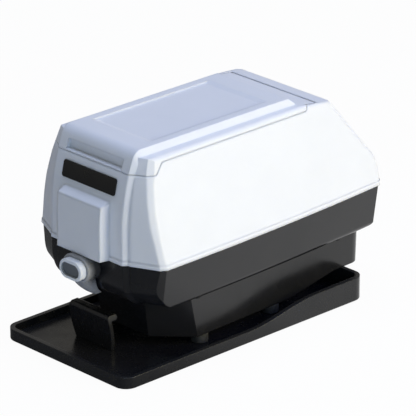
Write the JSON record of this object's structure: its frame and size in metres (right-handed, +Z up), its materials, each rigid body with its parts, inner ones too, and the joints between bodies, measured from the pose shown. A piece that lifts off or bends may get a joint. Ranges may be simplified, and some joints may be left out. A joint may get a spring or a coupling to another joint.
{
  "type": "hot lather machine",
  "caption": "Countertop hot lather machine: heated soap whipper with push-button spout, hinged tank lid with finger recess and drip tray",
  "frame": {"origin": "centre of the drip tray's flat underside, on the table", "axes": "+Z up, -Y to the front where the spout is, +Y to the rear where the power switch is, +X to the machine's right side seen from behind"},
  "size_m": [0.1158, 0.2368, 0.1444],
  "materials": {
    "lid_hood_white": "semi-gloss white",
    "housing_black": "glossy black",
    "spout_grey": "light grey, semi-gloss",
    "foot_rubber": "matt black",
    "screw_steel": "bright zinc",
    "chamber_metal": "machined",
    "motor_steel": "plated",
    "inner_plastic": "natural, matt",
    "inlet_brass": "turned brass"
  },
  "bodies": {
    "tray": {"tray": "housing_black", "drip_shield": "housing_black"},
    "machine": {"base_pan": "housing_black", "rubber_feet": "foot_rubber", "foot_screws": "screw_steel", "pan_screws": "screw_steel", "lower_housing": "housing_black", "hood": "lid_hood_white", "hood_screws": "screw_steel", "name_plate": "housing_black", "spout": "spout_grey", "spout_gasket": "foot_rubber", "button_spring": "screw_steel", "mixing_chamber": "chamber_metal", "chamber_cap": "inner_plastic", "chamber_o_ring": "foot_rubber", "shaft_seal": "foot_rubber", "heater_band": "chamber_metal", "thermostat": "chamber_metal", "motor_can": "motor_steel", "motor_end_cap": "chamber_metal", "motor_bearings": "motor_steel", "motor_magnets": "motor_steel", "motor_bracket": "motor_steel", "motor_screws": "screw_steel", "bracket_screws": "screw_steel", "deck_plate": "inner_plastic", "deck_screws": "screw_steel", "tank": "inner_plastic", "inlet_fitting": "inlet_brass", "tank_gasket": "foot_rubber", "micro_switch": "inner_plastic", "switch_bezel": "housing_black", "switch_pin": "screw_steel", "cord_gland": "housing_black", "terminal_block": "inner_plastic"},
    "lid": {"lid": "lid_hood_white", "hinge_pins": "screw_steel"},
    "button": {"dispense_button": "spout_grey", "valve_stem": "screw_steel", "valve_seal": "foot_rubber"},
    "rotor": {"whipper": "inner_plastic", "shaft_coupling": "inner_plastic", "motor_rotor": "motor_steel"},
    "rocker": {"power_rocker": "housing_black"}
  },
  "joints": [
    {"name": "machine_lift", "type": "slide", "parent": "tray", "child": "machine", "axis": [0, 0, 1], "range_m": [0, 0.1]},
    {"name": "lid_hinge", "type": "hinge", "parent": "machine", "child": "lid", "pos_m": [0, 0.071, 0.1348], "axis": [-1, 0, 0], "range_deg": [0, 58]},
    {"name": "button_press", "type": "slide", "parent": "machine", "child": "button", "axis": [0, 1, 0], "range_m": [0, 0.0025], "stiffness_N_per_m": 300, "springref_m": -0.003, "deforming": ["button_spring"]},
    {"name": "rotor_spin", "type": "hinge", "parent": "machine", "child": "rotor", "pos_m": [0, -0.03, 0.0625], "axis": [0, 1, 0], "continuous": true},
    {"name": "rocker_tilt", "type": "hinge", "parent": "machine", "child": "rocker", "pos_m": [-0.024, 0.1278, 0.0575], "axis": [-1, 0, 0], "range_deg": [0, 14]}
  ]
}
